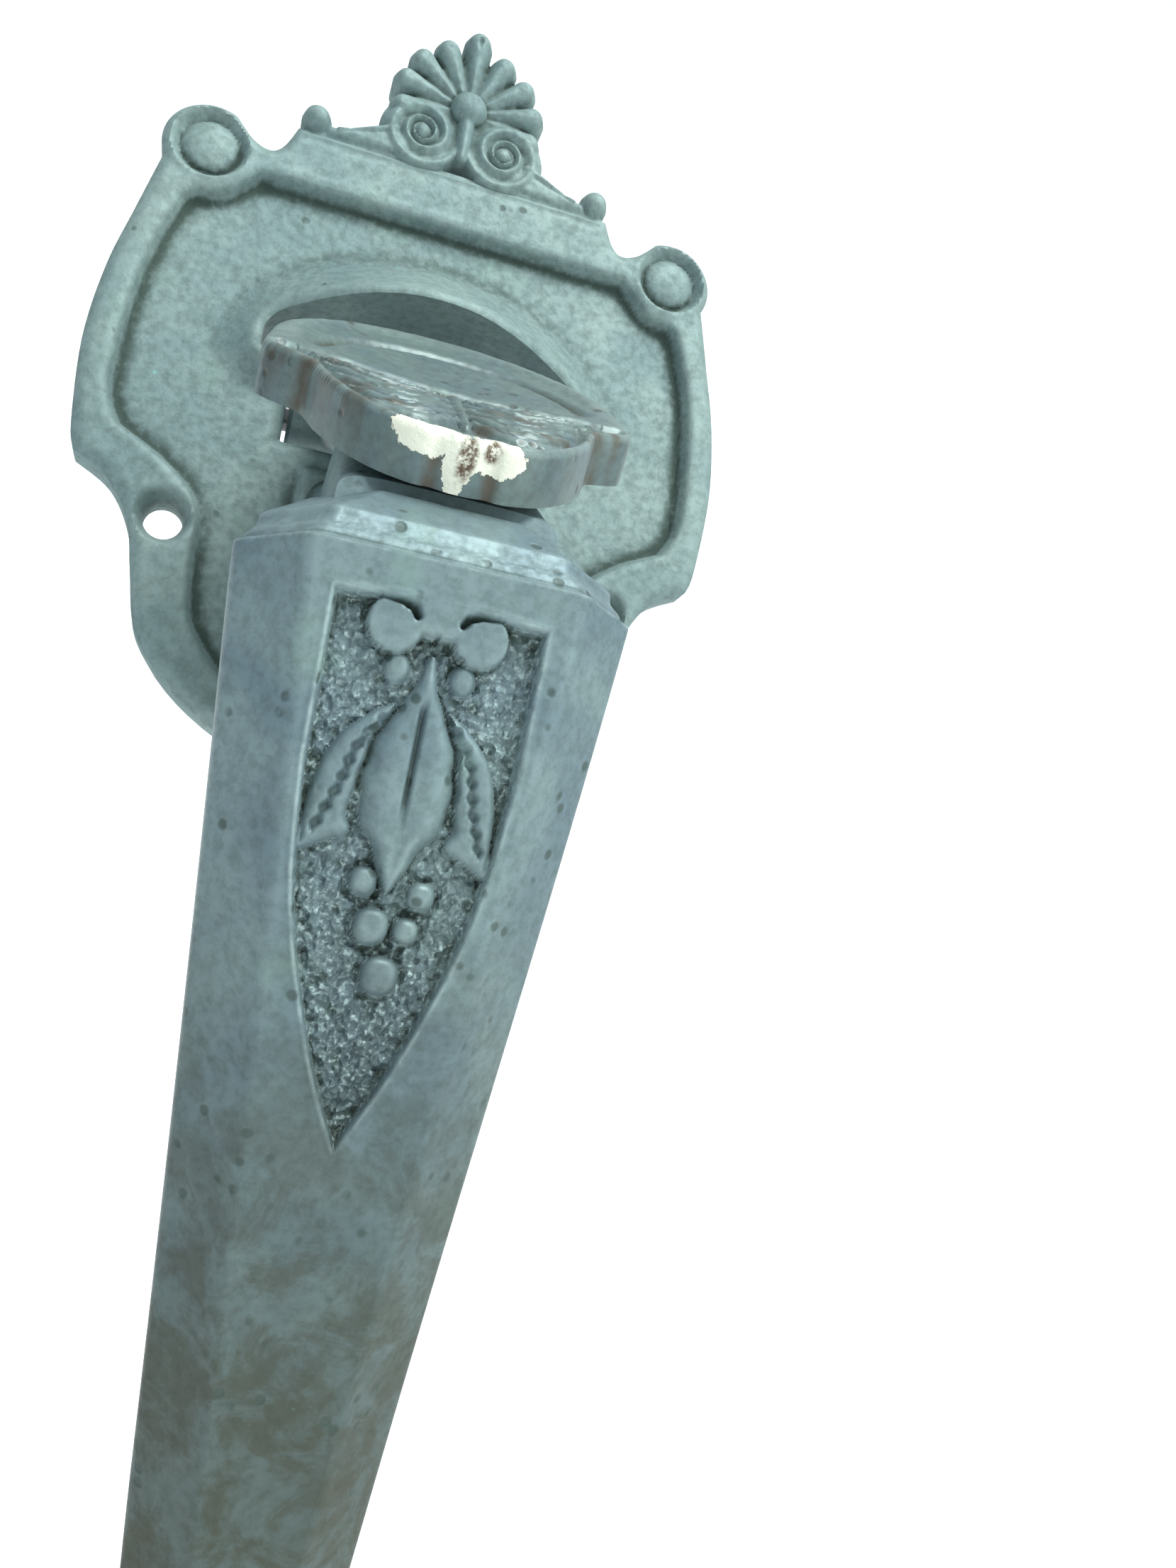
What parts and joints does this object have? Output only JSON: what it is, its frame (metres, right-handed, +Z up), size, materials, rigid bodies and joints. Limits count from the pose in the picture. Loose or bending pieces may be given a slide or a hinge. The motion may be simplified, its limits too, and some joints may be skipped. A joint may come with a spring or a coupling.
{
  "type": "thumb latch door handle",
  "caption": "Cast bronze entrance door handle: ornamented plate with a hooded slot, hinged thumb lever and a bowed octagonal grip.",
  "frame": {"origin": "point on the upper plate's flat back, which lies on the door face, level with its two screw holes and on the centre line", "axes": "+Z up the door, +X to the right seen from outside, +Y into the door, so the handle stands out towards -Y"},
  "size_m": [0.0816, 0.109, 0.2458],
  "materials": {
    "plate_bronze": "cast bronze with grey-green verdigris patina, darker in the recesses",
    "grip_bronze": "cast bronze, satin and hand-worn on the edges, brown-green patina",
    "lever_bronze": "cast bronze, smooth blue-grey patina",
    "steel": "dull zinc-plated steel",
    "screw_brass": "plain brass"
  },
  "bodies": {
    "handle_body": {"upper_plate": "plate_bronze", "grip": "grip_bronze", "lower_rose": "plate_bronze", "upper_grip_screw": "screw_brass", "lower_grip_screw": "screw_brass", "upper_dowel": "steel", "lower_dowel": "steel", "pivot_pin": "steel", "pin_clip": "steel"},
    "lever": {"thumb_lever": "lever_bronze", "lift_tongue": "steel", "tongue_rivet_front": "steel", "tongue_rivet_rear": "steel"}
  },
  "joints": [
    {"name": "thumb_lift", "type": "hinge", "parent": "handle_body", "child": "lever", "pos_m": [0, 0.0035, 0.02], "axis": [-1, 0, 0], "range_deg": [0, 20]}
  ]
}
